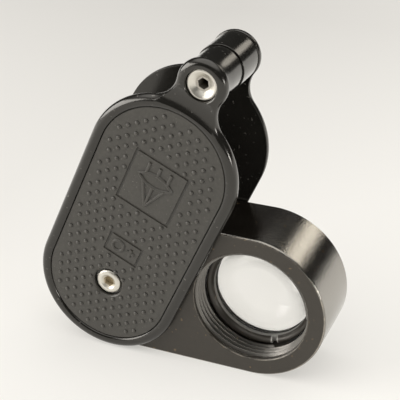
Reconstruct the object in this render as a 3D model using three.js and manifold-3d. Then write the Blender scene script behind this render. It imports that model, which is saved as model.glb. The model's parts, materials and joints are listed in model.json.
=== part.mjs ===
import * as THREE from 'three';
import { mergeVertices } from 'three/addons/utils/BufferGeometryUtils.js';
import Module from 'manifold-3d';

const wasm = await Module();
wasm.setup();

// A folding pocket loupe: a triplet lens in a flat holder that swings out from between two covers.
// Millimetres. It stands on the holder's long side: +X runs from the pivot to the lens,
// +Y from the front cover to the rear cover, +Z up. Y is zero half way between the covers.

// Lens holder
const armLength = 28; // pivot axis to lens axis
const holderRadius = 14.3; // half the holder's width and its two round ends
const holderThickness = 13.2;
const holderChamfer = 0.35;
const mouthRadius = 10.5; // crest radius of the thread that the lens bore is cut with
const threadDepth = 0.5;
const threadPitch = 1;
const mouthDepth = 4.8; // front face of the holder to the front retaining ring

// Lens and what holds it
const retainingRingThickness = 1.6;
const rearRingThickness = 1.4;
const retainingRingWidth = 1.15; // from its thread to its bore
const spannerSlotWidth = 1.2;
const spannerSlotDepth = 0.7;
const lensEdge = 4; // edge thickness of the cemented triplet, and the length of its cell
const cellWall = 0.5;
const lensLand = 0.75; // flat ring round each outer lens surface
const outerSurfaceRadius = 22;
const cementSurfaceRadius = 20;
const middleLensEdge = 1.25; // edge thickness of the middle element

// Covers
const leanAngle = 25.4; // degrees that the case leans over the holder, from upright
const sideClearance = 0.225; // holder face to the inner face of a cover
const coverFloor = 0.6; // sheet left under a grip pad
const rimWidth = 2.1;
const rimProud = 0.375; // rim above the pad's face
const rimRounding = 1.2;
const earRadius = 4.6;
const waistFillet = 5;
const frontBossRadius = 3.9;
const rearBossRadius = 4.4;
const bossClearance = 0.4; // lens end of the holder to the thicker boss as it swings past

// Grip pads and the frames pressed into them
const padThickness = 0.8;
const frameLine = 0.5;
const frameDepth = 0.25;
const emblemFrame = { halfWidth: 5.56, bottom: 18.5, top: 30 };
const powerFrame = { halfWidth: 3.6, bottom: 6.7, top: 11.3 };
const pivotPocketFlare = 0.4; // how much the pad's hole opens towards its face

// Pivot
const pivotHeadRadius = 2.48;
const pivotHeadThickness = 0.6;
const pivotHeadChamfer = 0.2;
const pivotShankRadius = 1.5;
const pivotShankLength = 6.5;
const postBoreSpare = 2; // depth of the post's bore past the end of the screw
const postRadius = 2.4;
const postHeadRadius = 2.9;
const pivotSocketAcrossFlats = 1.9;
const pivotSocketDepth = 1.3;
const bushingWall = 0.85;
const washerRadius = 5.2;
const waveWasherPocket = 0.7; // depth of the pocket in the holder's rear face
const waveWasherThickness = 0.2;
const waveWasherWidth = 1.2;
const waveCount = 3;
const slotWidth = 0.7; // screwdriver slot in each barrel nut
const slotDepth = 0.35;

// Neck
const neckHeadRadius = 2.77;
const neckHeadThickness = 0.65;
const neckDishRadius = 2.35;
const neckDishSlope = 0.7; // depth of the dish per millimetre of radius
const neckShankRadius = 1.7;
const neckShankLength = 6;
const neckBoreRadius = 0.9; // through the screw, for a cord
const neckSocketAcrossFlats = 2.3;
const neckSocketDepth = 2;
const neckTubeWall = 0.55;
const neckHeadRecess = 0.45; // floor of the ear's recess above the cover's inner face
const neckShoulder = 0.875; // cover left between the screw's head and the end of the tube

// Clearances
const seatGap = 0.02; // between faces that are clamped together
const runningGap = 0.05; // between round pieces that turn or slide in each other
const pocketGap = 0.1; // round a pad or a head in its pocket

const cutPast = 1; // how far a cut runs out beyond the face that it opens

// Facets of a whole turn
const fine = 48;
const medium = 32;
const coarse = 24;

// Places that follow from the sizes above. Faces and floors are measured outwards from Y = 0.
const coverRadius = holderRadius;
const neckReach = armLength + holderRadius + bossClearance + Math.max(frontBossRadius, rearBossRadius);
const holderFace = holderThickness / 2;
const innerFace = holderFace + sideClearance;
const padFloor = innerFace + coverFloor;
const padFace = padFloor + padThickness;
const rimTop = padFace + rimProud;
const ringFront = -holderFace + mouthDepth;
const cellFront = ringFront + retainingRingThickness + runningGap;
const cellBack = cellFront + lensEdge;
const ringBack = cellBack + runningGap;
const bushingBore = postRadius + runningGap;
const bushingRadius = bushingBore + bushingWall;
const FRONT = -1;
const REAR = 1;

// Colours and finishes
const glossBlack = new THREE.MeshStandardMaterial({ color: 0x15140f, roughness: 0.28, metalness: 0 });
const gripRubber = new THREE.MeshStandardMaterial({ color: 0x3c3a36, roughness: 0.75, metalness: 0 });
const anodised = new THREE.MeshStandardMaterial({ color: 0x1f1c18, roughness: 0.5, metalness: 0.4 });
const nickel = new THREE.MeshStandardMaterial({ color: 0xc9c6bb, roughness: 0.3, metalness: 1 });
const springSteel = new THREE.MeshStandardMaterial({ color: 0x8f8f8c, roughness: 0.35, metalness: 1 });
const brass = new THREE.MeshStandardMaterial({ color: 0xb08d4c, roughness: 0.35, metalness: 1 });
const nylon = new THREE.MeshStandardMaterial({ color: 0xd9d5c8, roughness: 0.6, metalness: 0 });
const glass = new THREE.MeshStandardMaterial({
  color: 0xe8f0ee, roughness: 0.05, metalness: 0, transparent: true, opacity: 0.35,
});

function solid(geometry) {
  const bare = geometry.clone();
  bare.deleteAttribute('normal');
  bare.deleteAttribute('uv');
  const merged = mergeVertices(bare);
  const corners = merged.index.array;
  const triVerts = [];
  for (let i = 0; i < corners.length; i += 3) {
    const [a, b, c] = corners.slice(i, i + 3);
    if (a !== b && b !== c && c !== a) triVerts.push(a, b, c);
  }
  return new wasm.Manifold(new wasm.Mesh({
    numProp: 3,
    vertProperties: merged.attributes.position.array,
    triVerts: new Uint32Array(triVerts),
  }));
}

function named(name, body, material) {
  const { vertProperties, triVerts } = body.getMesh();
  const geometry = new THREE.BufferGeometry();
  geometry.setAttribute('position', new THREE.BufferAttribute(new Float32Array(vertProperties), 3));
  geometry.setIndex(new THREE.BufferAttribute(new Uint32Array(triVerts), 1));
  geometry.computeVertexNormals();
  const mesh = new THREE.Mesh(geometry, material);
  mesh.name = name;
  return mesh;
}

// A flat outline in X and Z, drawn out along Y between two heights, with its edges cut back by a bevel.
function prism(shape, yA, yB, { bevel = 0, bevelSegments = 1, curveSegments = coarse / 4 } = {}) {
  const length = Math.abs(yB - yA);
  const geometry = new THREE.ExtrudeGeometry(shape, {
    depth: length - 2 * bevel,
    bevelEnabled: bevel > 0,
    bevelThickness: bevel,
    bevelSize: bevel,
    bevelOffset: -bevel,
    bevelSegments,
    curveSegments,
  });
  geometry.rotateX(Math.PI / 2);
  geometry.translate(0, Math.max(yA, yB) - bevel, 0);
  return solid(geometry);
}

// A closed profile of [radius, height] pairs turned about the Y axis.
function turned(profile, segments = coarse) {
  const points = profile.map(([r, y]) => new THREE.Vector2(r, y));
  if (THREE.ShapeUtils.area(points) < 0) points.reverse();
  points.push(points[0].clone());
  return solid(new THREE.LatheGeometry(points, segments));
}

function rod(radius, yA, yB, segments = coarse) {
  return turned([[0, yA], [radius, yA], [radius, yB], [0, yB]], segments);
}

function tube(inner, outer, yA, yB, segments = coarse) {
  return turned([[inner, yA], [outer, yA], [outer, yB], [inner, yB]], segments);
}

function cone(radiusA, radiusB, yA, yB, segments = coarse) {
  return turned([[0, yA], [radiusA, yA], [radiusB, yB], [0, yB]], segments);
}

function rectangle(left, right, bottom, top) {
  const shape = new THREE.Shape();
  shape.moveTo(left, bottom);
  shape.lineTo(right, bottom);
  shape.lineTo(right, top);
  shape.lineTo(left, top);
  shape.closePath();
  return shape;
}

function hexagon(acrossFlats) {
  const shape = new THREE.Shape();
  const corner = acrossFlats / Math.sqrt(3);
  for (let i = 0; i < 6; i++) {
    const angle = (i * Math.PI) / 3;
    const point = [corner * Math.cos(angle), corner * Math.sin(angle)];
    if (i === 0) shape.moveTo(...point);
    else shape.lineTo(...point);
  }
  shape.closePath();
  return shape;
}

function shifted(body, x, z) {
  return body.translate([x, 0, z]);
}

// Outline of a cover: round bottom end about the pivot, straight sides, round top end,
// and a waist on each side that runs into the round ear about the neck axis.
function coverOutline() {
  const topHub = coverRadius + waistFillet;
  const earHub = earRadius + waistFillet;
  const span = neckReach - armLength;
  const rise = (topHub ** 2 - earHub ** 2 + span ** 2) / (2 * span);
  const waist = { x: Math.sqrt(topHub ** 2 - rise ** 2), z: armLength + rise };
  const topAngle = Math.atan2(rise, waist.x);
  const earAngle = Math.atan2(neckReach - waist.z, -waist.x);
  const shape = new THREE.Shape();
  shape.absarc(0, 0, coverRadius, Math.PI, 2 * Math.PI, false);
  shape.absarc(0, armLength, coverRadius, 0, topAngle, false);
  shape.absarc(waist.x, waist.z, waistFillet, topAngle + Math.PI, earAngle, true);
  shape.absarc(0, neckReach, earRadius, earAngle - Math.PI, 2 * Math.PI - earAngle, false);
  shape.absarc(-waist.x, waist.z, waistFillet, Math.PI - earAngle, -topAngle, true);
  shape.absarc(0, armLength, coverRadius, Math.PI - topAngle, Math.PI, false);
  shape.closePath();
  return shape;
}

// Outline of a grip pad, a rim's width inside the cover.
function padOutline(gap) {
  const radius = coverRadius - rimWidth - gap;
  const shape = new THREE.Shape();
  shape.absarc(0, 0, radius, Math.PI, 2 * Math.PI, false);
  shape.absarc(0, armLength, radius, 0, Math.PI, false);
  shape.closePath();
  return shape;
}

function cover(name, side, bossRadius, neckHole, pivotHole) {
  const reach = 2 * neckReach;
  const shell = prism(coverOutline(), side * (innerFace - 2 * rimRounding), side * rimTop, {
    bevel: rimRounding, bevelSegments: 3,
  });
  const inside = prism(rectangle(-reach, reach, -reach, reach), 0, side * innerFace);
  const boss = shifted(rod(bossRadius, side * seatGap, side * (innerFace + coverFloor / 2)), 0, neckReach);
  const padPocket = prism(padOutline(0), side * padFloor, side * (rimTop + cutPast));
  const recessFloor = side * (innerFace + neckHeadRecess);
  const headRecess = rod(neckHeadRadius + pocketGap, recessFloor, side * (rimTop + cutPast));
  return named(name, shell.subtract(inside)
    .subtract(padPocket)
    .add(boss)
    .subtract(shifted(headRecess, 0, neckReach))
    .subtract(shifted(neckHole, 0, neckReach))
    .subtract(rod(pivotHole, 0, side * rimTop)), glossBlack);
}

function frameGroove(frame, side) {
  const { halfWidth, bottom, top } = frame;
  const inside = halfWidth - frameLine;
  const outer = rectangle(-halfWidth, halfWidth, bottom, top);
  outer.holes.push(rectangle(-inside, inside, bottom + frameLine, top - frameLine));
  return prism(outer, side * (padFace - frameDepth), side * (padFace + cutPast));
}

function gripPad(name, side, headRadius, frames) {
  const holeRadius = headRadius + pocketGap;
  const hole = cone(holeRadius, holeRadius + pivotPocketFlare, side * padFloor, side * padFace);
  let body = prism(padOutline(pocketGap), side * (padFloor + seatGap), side * padFace).subtract(hole);
  for (const frame of frames) body = body.subtract(frameGroove(frame, side));
  return named(name, body, gripRubber);
}

// Barrel nut: a hollow post with a slotted head, entered from the rear.
function barrelNut(name, { headRadius, headSeat, headThickness, radius, bore, boreDepth, end }) {
  const seat = headSeat + seatGap;
  const top = seat + headThickness;
  const slotShape = rectangle(-headRadius, headRadius, -slotWidth / 2, slotWidth / 2);
  const slot = prism(slotShape, top - slotDepth, top + cutPast);
  const body = rod(radius, end, seat)
    .add(rod(headRadius, seat, top))
    .subtract(rod(bore, end - cutPast, end + boreDepth))
    .subtract(slot);
  return named(name, body, nickel);
}

function pivotScrew() {
  const seat = -padFloor - seatGap;
  const top = seat - pivotHeadThickness;
  const body = turned([
    [0, top], [pivotHeadRadius - pivotHeadChamfer, top], [pivotHeadRadius, top + pivotHeadChamfer],
    [pivotHeadRadius, seat], [pivotShankRadius, seat],
    [pivotShankRadius, seat + pivotShankLength], [0, seat + pivotShankLength],
  ]);
  const socket = prism(hexagon(pivotSocketAcrossFlats), top, top + pivotSocketDepth);
  return named('pivot_screw', body.subtract(socket), nickel);
}

function neckScrew() {
  const seat = -innerFace - neckHeadRecess - seatGap;
  const top = seat - neckHeadThickness;
  const socketCorner = neckSocketAcrossFlats / Math.sqrt(3);
  const dishDepth = (neckDishRadius - socketCorner) * neckDishSlope;
  const body = turned([
    [neckBoreRadius, top + dishDepth], [socketCorner, top + dishDepth], [neckDishRadius, top],
    [neckHeadRadius, top], [neckHeadRadius, seat], [neckShankRadius, seat],
    [neckShankRadius, seat + neckShankLength], [neckBoreRadius, seat + neckShankLength],
  ]);
  const socket = prism(hexagon(neckSocketAcrossFlats), top, top + dishDepth + neckSocketDepth);
  return named('neck_screw', body.subtract(socket), nickel);
}

function frictionWasher(name, side) {
  const body = tube(bushingBore, washerRadius, side * (holderFace + seatGap), side * (innerFace - seatGap));
  return named(name, body, nylon);
}

// Wave washer: a thin ring whose height follows a cosine round the pivot.
function waveWasher() {
  const inner = bushingRadius + pocketGap;
  const low = holderFace - waveWasherPocket + seatGap;
  const high = holderFace - seatGap;
  const middle = (low + high) / 2;
  const wave = (high - low - waveWasherThickness) / 2;
  const half = waveWasherThickness / 2;
  const profile = [
    [inner, middle - half], [inner + waveWasherWidth, middle - half],
    [inner + waveWasherWidth, middle + half], [inner, middle + half],
  ];
  const body = turned(profile, fine).warp((vertex) => {
    vertex[1] += wave * Math.cos(waveCount * Math.atan2(vertex[2], vertex[0]));
  });
  return named('pivot_wave_washer', body, springSteel);
}

function threadProfile(yA, yB) {
  const turns = Math.floor((yB - yA) / threadPitch);
  const profile = [];
  for (let i = 0; i < turns; i++) {
    const y = yA + i * threadPitch;
    profile.push([mouthRadius, y], [mouthRadius + threadDepth, y + threadPitch / 2]);
  }
  profile.push([mouthRadius, yA + turns * threadPitch]);
  return profile;
}

function lensHolder() {
  const block = new THREE.Shape();
  block.absarc(0, 0, holderRadius, Math.PI / 2, 1.5 * Math.PI, false);
  block.absarc(armLength, 0, holderRadius, -Math.PI / 2, Math.PI / 2, false);
  block.closePath();
  const bore = turned([
    [0, -holderFace - cutPast], [mouthRadius, -holderFace - cutPast],
    ...threadProfile(-holderFace + threadPitch / 4, cellFront),
    ...threadProfile(ringBack, holderFace - threadPitch / 4),
    [mouthRadius, holderFace + cutPast], [0, holderFace + cutPast],
  ], fine);
  const washerPocket = bushingRadius + waveWasherWidth + 3 * pocketGap;
  const body = prism(block, -holderFace, holderFace, { bevel: holderChamfer, curveSegments: coarse / 2 });
  return named('lens_holder', body
    .subtract(shifted(bore, armLength, 0))
    .subtract(rod(bushingRadius + seatGap, -holderFace - cutPast, holderFace + cutPast))
    .subtract(rod(washerPocket, holderFace - waveWasherPocket, holderFace + cutPast)), anodised);
}

function retainingRing(name, yA, yB, outwards) {
  const outer = mouthRadius - runningGap;
  const face = outwards === FRONT ? yA : yB;
  const slot = prism(
    rectangle(-mouthRadius, mouthRadius, -spannerSlotWidth / 2, spannerSlotWidth / 2),
    face + outwards * cutPast, face - outwards * spannerSlotDepth,
  );
  const body = tube(outer - retainingRingWidth, outer, yA, yB, medium).subtract(slot.rotate([0, 90, 0]));
  return named(name, body, anodised);
}

// Height of a ball's surface above its edge plane, at a distance from the axis.
function domeHeight(ballRadius, edgeRadius, radius) {
  return Math.sqrt(ballRadius ** 2 - radius ** 2) - Math.sqrt(ballRadius ** 2 - edgeRadius ** 2);
}

function domePoints(ballRadius, edgeRadius, y, bulge, steps = 6) {
  const points = [];
  for (let i = 0; i <= steps; i++) {
    const radius = (edgeRadius * i) / steps;
    points.push([radius, y + bulge * domeHeight(ballRadius, edgeRadius, radius)]);
  }
  return points;
}

function lensElements() {
  const radius = mouthRadius - runningGap - cellWall - runningGap;
  const clear = radius - lensLand;
  const centre = (cellFront + cellBack) / 2;
  const cemented = (side, gap) => (
    domePoints(cementSurfaceRadius, radius, centre + side * (middleLensEdge / 2 + gap), side)
  );
  const outer = (side) => {
    const land = centre + (side * lensEdge) / 2;
    const polished = domePoints(outerSurfaceRadius, clear, land, side).reverse();
    return [...cemented(side, seatGap), [radius, land], ...polished];
  };
  const middle = [...cemented(FRONT, 0), ...cemented(REAR, 0).reverse()];
  return [
    named('front_lens_element', turned(outer(FRONT), medium), glass),
    named('middle_lens_element', turned(middle, medium), glass),
    named('rear_lens_element', turned(outer(REAR), medium), glass),
  ];
}

function lensCell() {
  const outer = mouthRadius - runningGap;
  return named('lens_cell', tube(outer - cellWall, outer, cellFront, cellBack, medium), anodised);
}

// The case, in its own frame: pivot axis at the origin, neck straight above it.
const tubeRadius = neckShankRadius + runningGap + neckTubeWall;
const tubeHole = tubeRadius + runningGap;
const frontShoulder = innerFace + neckHeadRecess - neckShoulder;
const frontNeckHole = rod(neckShankRadius + runningGap, -rimTop, 0).add(rod(tubeHole, -frontShoulder, 0));
const tubeEnd = -frontShoulder + pocketGap;
const neckNut = barrelNut('neck_barrel_nut', {
  headRadius: neckHeadRadius,
  headSeat: innerFace + neckHeadRecess,
  headThickness: neckHeadThickness,
  radius: tubeRadius,
  bore: neckShankRadius + runningGap,
  boreDepth: 2 * rimTop,
  end: tubeEnd,
});
const neckBolt = neckScrew();
neckNut.position.z = neckReach;
neckBolt.position.z = neckReach;

const caseGroup = new THREE.Group();
caseGroup.add(
  cover('front_cover', FRONT, frontBossRadius, frontNeckHole, pivotShankRadius + runningGap),
  cover('rear_cover', REAR, rearBossRadius, rod(tubeHole, 0, rimTop), postRadius + runningGap),
  gripPad('front_grip_pad', FRONT, pivotHeadRadius, [emblemFrame, powerFrame]),
  gripPad('rear_grip_pad', REAR, postHeadRadius, []),
  pivotScrew(),
  barrelNut('pivot_barrel_nut', {
    headRadius: postHeadRadius,
    headSeat: padFloor,
    headThickness: pivotHeadThickness,
    radius: postRadius,
    bore: pivotShankRadius + runningGap,
    boreDepth: pivotShankLength + postBoreSpare,
    end: seatGap - innerFace,
  }),
  neckBolt,
  neckNut,
  frictionWasher('front_friction_washer', FRONT),
  frictionWasher('rear_friction_washer', REAR),
);
caseGroup.rotation.y = THREE.MathUtils.degToRad(leanAngle);

// The holder, in its own frame: pivot axis at the origin, lens axis straight along +X.
const lensGroup = new THREE.Group();
lensGroup.add(
  retainingRing('front_retaining_ring', ringFront, ringFront + retainingRingThickness, FRONT),
  lensCell(),
  ...lensElements(),
  retainingRing('rear_retaining_ring', ringBack, ringBack + rearRingThickness, REAR),
);
lensGroup.position.x = armLength;

const holderGroup = new THREE.Group();
holderGroup.add(
  lensHolder(),
  named('pivot_bushing', tube(bushingBore, bushingRadius, seatGap - holderFace, holderFace - seatGap), brass),
  waveWasher(),
  lensGroup,
);

// The origin is on the table under the middle of the whole loupe.
const loupe = new THREE.Group();
loupe.add(caseGroup, holderGroup);
loupe.position.set(-armLength / 2, 0, holderRadius);

export default loupe;
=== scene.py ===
import json
import math

import bmesh
import bpy
from mathutils import Matrix, Vector


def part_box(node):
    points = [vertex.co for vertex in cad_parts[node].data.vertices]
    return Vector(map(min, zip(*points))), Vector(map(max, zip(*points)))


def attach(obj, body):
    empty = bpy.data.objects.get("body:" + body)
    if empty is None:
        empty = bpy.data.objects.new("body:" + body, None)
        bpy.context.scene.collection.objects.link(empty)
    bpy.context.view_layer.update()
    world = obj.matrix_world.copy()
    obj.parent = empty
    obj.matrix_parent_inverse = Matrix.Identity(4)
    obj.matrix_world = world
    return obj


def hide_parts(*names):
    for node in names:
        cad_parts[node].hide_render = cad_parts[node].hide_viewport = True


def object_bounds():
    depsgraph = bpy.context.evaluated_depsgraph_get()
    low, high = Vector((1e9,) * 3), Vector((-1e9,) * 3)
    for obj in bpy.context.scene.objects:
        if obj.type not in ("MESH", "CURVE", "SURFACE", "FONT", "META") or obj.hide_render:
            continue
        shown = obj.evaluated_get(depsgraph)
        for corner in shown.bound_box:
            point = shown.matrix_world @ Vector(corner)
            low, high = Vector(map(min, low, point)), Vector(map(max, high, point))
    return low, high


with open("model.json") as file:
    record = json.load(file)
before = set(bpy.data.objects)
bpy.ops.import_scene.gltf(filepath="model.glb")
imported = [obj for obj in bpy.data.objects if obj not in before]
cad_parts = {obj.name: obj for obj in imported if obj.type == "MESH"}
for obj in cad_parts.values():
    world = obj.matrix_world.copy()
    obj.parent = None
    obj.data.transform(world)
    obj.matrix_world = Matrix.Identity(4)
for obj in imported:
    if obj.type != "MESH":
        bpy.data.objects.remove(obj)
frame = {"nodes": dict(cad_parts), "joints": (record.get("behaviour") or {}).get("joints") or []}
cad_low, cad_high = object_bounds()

scene = bpy.context.scene

# ---- Camera, table and light ---------------------------------------------
# The loupe stands on a pale table that glows with painted light, brighter towards the front, with a painted
# shadow on its left. It is seen from its front right and a little above, through a long lens, under a
# bright ceiling and with a soft light on each side and one behind.
scene.view_settings.view_transform = "Standard"
middle = (cad_low + cad_high) / 2
aim = middle + Vector((0.0018, 0, 0.0001))
azimuth, elevation, roll = (math.radians(angle) for angle in (24.26, 27.83, -1.49))
camera_distance = 0.2034
towards_camera = Vector((
    math.sin(azimuth) * math.cos(elevation),
    -math.cos(azimuth) * math.cos(elevation),
    math.sin(elevation),
))
camera = bpy.data.objects.new("camera", bpy.data.cameras.new("camera"))
camera.data.lens = 100.55
camera.data.sensor_width = 36
camera.data.clip_start = 0.01
camera.data.clip_end = 20
turn = (-towards_camera).to_track_quat("-Z", "Y").to_matrix() @ Matrix.Rotation(roll, 3, "Z")
camera.matrix_world = Matrix.Translation(aim + camera_distance * towards_camera) @ turn.to_4x4()
scene.collection.objects.link(camera)
scene.camera = camera


def new_object(name, shape):
    """Makes a mesh object from a bmesh, and frees the bmesh."""
    mesh = bpy.data.meshes.new(name)
    shape.to_mesh(mesh)
    shape.free()
    piece = bpy.data.objects.new(name, mesh)
    scene.collection.objects.link(piece)
    return piece


def plug(links, socket, value):
    """Sets a socket to a value, or links it to another node's socket."""
    if isinstance(value, bpy.types.NodeSocket):
        links.new(value, socket)
    else:
        socket.default_value = value


class Finish:
    """A material with one Principled shader, and short calls for the textures that feed it."""

    def __init__(self, name, **sockets):
        self.material = bpy.data.materials.new(name)
        self.material.use_nodes = True
        self.nodes = self.material.node_tree.nodes
        self.links = self.material.node_tree.links
        self.shader = self.nodes["Principled BSDF"]
        self.place = self.nodes.new("ShaderNodeTexCoord").outputs["Object"]
        for socket, value in sockets.items():
            self.shader.inputs[socket.replace("_", " ")].default_value = value

    def noise(self, size, detail=3.0, roughness=0.5):
        """Cloudy noise whose lumps are about `size` metres across."""
        node = self.nodes.new("ShaderNodeTexNoise")
        node.inputs["Scale"].default_value = 1 / size
        node.inputs["Detail"].default_value = detail
        node.inputs["Roughness"].default_value = roughness
        self.links.new(self.place, node.inputs["Vector"])
        return node.outputs["Fac"]

    def rings(self, centre, width):
        """Turning marks: fine rings about an axis that runs along Y through the centre."""
        node = self.nodes.new("ShaderNodeTexWave")
        node.wave_type = "RINGS"
        node.rings_direction = "Y"
        node.inputs["Scale"].default_value = 0.31 / width
        node.inputs["Distortion"].default_value = 0.6
        node.inputs["Detail"].default_value = 2.0
        centred = self.nodes.new("ShaderNodeMapping")
        centred.inputs["Location"].default_value = [-distance for distance in centre]
        self.links.new(self.place, centred.inputs["Vector"])
        self.links.new(centred.outputs["Vector"], node.inputs["Vector"])
        return node.outputs["Fac"]

    def attribute(self, name):
        """A value that is stored at each vertex of the piece."""
        node = self.nodes.new("ShaderNodeAttribute")
        node.attribute_name = name
        return node.outputs["Fac"]

    def spread(self, source, low, high, start=0.0, end=1.0):
        """Maps a range of a value to another range."""
        node = self.nodes.new("ShaderNodeMapRange")
        node.inputs["From Min"].default_value = start
        node.inputs["From Max"].default_value = end
        node.inputs["To Min"].default_value = low
        node.inputs["To Max"].default_value = high
        self.links.new(source, node.inputs["Value"])
        return node.outputs["Result"]

    def combine(self, operation, first, second):
        """One step of arithmetic on two values, each a number or a socket."""
        node = self.nodes.new("ShaderNodeMath")
        node.operation = operation
        plug(self.links, node.inputs[0], first)
        plug(self.links, node.inputs[1], second)
        return node.outputs["Value"]

    def blend(self, factor, first, second):
        """Mixes two colours, each given as a tuple or a socket."""
        node = self.nodes.new("ShaderNodeMix")
        node.data_type = "RGBA"
        self.links.new(factor, node.inputs["Factor"])
        colours = [socket for socket in node.inputs if socket.type == "RGBA"]
        for socket, value in zip(colours, (first, second)):
            plug(self.links, socket, (*value, 1) if isinstance(value, tuple) else value)
        return next(socket for socket in node.outputs if socket.type == "RGBA")

    def feed(self, socket, source):
        """Drives one of the shader's sockets with a texture or a value."""
        self.links.new(source, self.shader.inputs[socket])

    def relief(self, *layers):
        """Stacks bump layers, each a (height, depth in metres) pair."""
        normal = None
        for height, depth in layers:
            node = self.nodes.new("ShaderNodeBump")
            node.inputs["Strength"].default_value = 1.0
            node.inputs["Distance"].default_value = depth
            self.links.new(height, node.inputs["Height"])
            if normal:
                self.links.new(normal, node.inputs["Normal"])
            normal = node.outputs["Normal"]
        self.feed("Normal", normal)


paper = Finish("table_paper", Roughness=0.75, Emission_Color=(1, 0.98, 0.93, 1))
across_table = paper.nodes.new("ShaderNodeSeparateXYZ")
paper.links.new(paper.place, across_table.inputs[0])
# Painted light: the table glows of itself, more towards the front, and less on the left as a painted
# shadow.
painted_table_light = paper.spread(across_table.outputs["Y"], 0.52, 0.34, -0.02, 0.19)
painted_table_light = paper.combine("ADD", painted_table_light, paper.spread(across_table.outputs["X"], -0.13, 0, -0.07, 0.03))

# The table is brighter in the loupe's own reflections, though not in what is seen through its lens.
ray = paper.nodes.new("ShaderNodeLightPath").outputs
mirrored = paper.combine("GREATER_THAN", ray["Is Glossy Ray"], ray["Is Transmission Ray"])
outside_lens = paper.combine("LESS_THAN", ray["Transmission Depth"], 0.5)
mirrored = paper.combine("MULTIPLY", mirrored, outside_lens)
sheen = paper.combine("MULTIPLY", mirrored, paper.spread(across_table.outputs["Y"], 0, 0.48, -0.01, 0.03))
paper.feed("Emission Strength", paper.combine("ADD", painted_table_light, sheen))
paper.feed("Base Color", paper.blend(paper.noise(0.4, 2), (0.42, 0.41, 0.395), (0.44, 0.435, 0.42)))
paper.relief((paper.noise(0.002, 2), 0.00002))
table_shape = bmesh.new()
bmesh.ops.create_circle(table_shape, cap_ends=True, segments=64, radius=4)
table = new_object("table", table_shape)
table.data.materials.append(paper.material)

scene.world = bpy.data.worlds.new("studio")
scene.world.use_nodes = True
sky = scene.world.node_tree
room = sky.nodes["Background"]
upward = sky.nodes.new("ShaderNodeSeparateXYZ")
sky.links.new(sky.nodes.new("ShaderNodeTexCoord").outputs["Generated"], upward.inputs[0])
ceiling = sky.nodes.new("ShaderNodeValToRGB")
ceiling.color_ramp.elements[0].position = 0.62
ceiling.color_ramp.elements[0].color = (0.025, 0.025, 0.024, 1)
ceiling.color_ramp.elements[1].position = 0.82
ceiling.color_ramp.elements[1].color = (1.0, 0.985, 0.955, 1)
sky.links.new(upward.outputs["Z"], ceiling.inputs["Fac"])
sky.links.new(ceiling.outputs["Color"], room.inputs["Color"])
room.inputs["Strength"].default_value = 1.7


def soft_light(name, place, size, power, colour=(1, 0.98, 0.95)):
    """An oblong soft light that faces the loupe. Place is in metres from its middle."""
    light = bpy.data.objects.new(name, bpy.data.lights.new(name, "AREA"))
    light.data.shape = "RECTANGLE"
    light.data.size, light.data.size_y = size
    light.data.energy = power
    light.data.color = colour
    direction = Vector(place)
    facing = (-direction).to_track_quat("-Z", "Y").to_matrix().to_4x4()
    light.matrix_world = Matrix.Translation(middle + direction) @ facing
    scene.collection.objects.link(light)


soft_light("behind_right", (0.306, 0.657, 0.338), (0.25, 0.20), 0.47, (1, 0.94, 0.83))
soft_light("left", (-0.52, -0.24, 0.19), (0.60, 0.32), 3.5)
soft_light("right", (0.62, -0.20, 0.05), (0.14, 0.10), 0.75)

# ---- Covers --------------------------------------------------------------
# Two moulded shells of glossy black plastic, mirrored, and alike but for their bosses and holes.
# Each has a rolled rim and a neck that ends in an ear, with a hollow boss on its inner side. The
# bosses meet end to end on the post that the neck screw is driven into.

# The pieces are made in millimetres. Heights run along Y from half way between the covers.
MM = 0.001
pivot = Vector(frame["joints"][0]["pos_m"])


def ends_of(node):
    """Where a CAD piece starts and ends along Y, in millimetres."""
    low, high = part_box(node)
    return low.y / MM, high.y / MM


neck_low, neck_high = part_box("neck_screw")
neck_line = (neck_low + neck_high) / 2 - pivot
neck_line.y = 0
lean = math.atan2(neck_line.x, neck_line.z)
case_frame = Matrix.Translation(pivot) @ Matrix.Rotation(lean, 4, "Y") @ Matrix.Scale(MM, 4)
holder_low, holder_high = (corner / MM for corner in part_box("lens_holder"))
holder_radius = (holder_high.z - holder_low.z) / 2
holder_face = holder_high.y
arm_length = holder_high.x - holder_low.x - 2 * holder_radius
neck_reach = neck_line.length / MM
seat_gap = 0.02
cut_past = 1
rim_top = ends_of("rear_cover")[1]
pad_floor, pad_face = ends_of("rear_grip_pad")
pad_floor -= seat_gap
inner_face = ends_of("rear_friction_washer")[1] + seat_gap
cover_radius = holder_radius
ear_radius = 4.6
waist_fillet = 5.0
rim_width = 2.1
rim_rounding = 1.2
rim_roll = 0.8
inner_edge = 0.25
front_boss_radius = 4.15
rear_boss_radius = 4.4
boss_edge = 0.07
boss_flare = 2.6
boss_root = 0.1
recess_radius = 2.87
recess_floor = inner_face + 0.45
recess_lip_width = 0.4
recess_lip_depth = 0.42
valley_radius = 5
valley_centre = (cover_radius + 6.8, rim_top + 4.55)
valley_hub = (0, arm_length - 6)
neck_place = (0, neck_reach)
neck_shoulder = 0.875
neck_shank_hole = 1.75
neck_tube_hole = 2.35
pivot_shank_hole = 1.55
pivot_post_hole = 2.45
FRONT, REAR = -1, 1


def arc(centre, radius, start, end, steps):
    """Points of an arc in X and Z, both ends included. Angles are in radians."""
    points = []
    for i in range(steps + 1):
        angle = start + (end - start) * i / steps
        points.append((centre[0] + radius * math.cos(angle), centre[1] + radius * math.sin(angle)))
    return points


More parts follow.
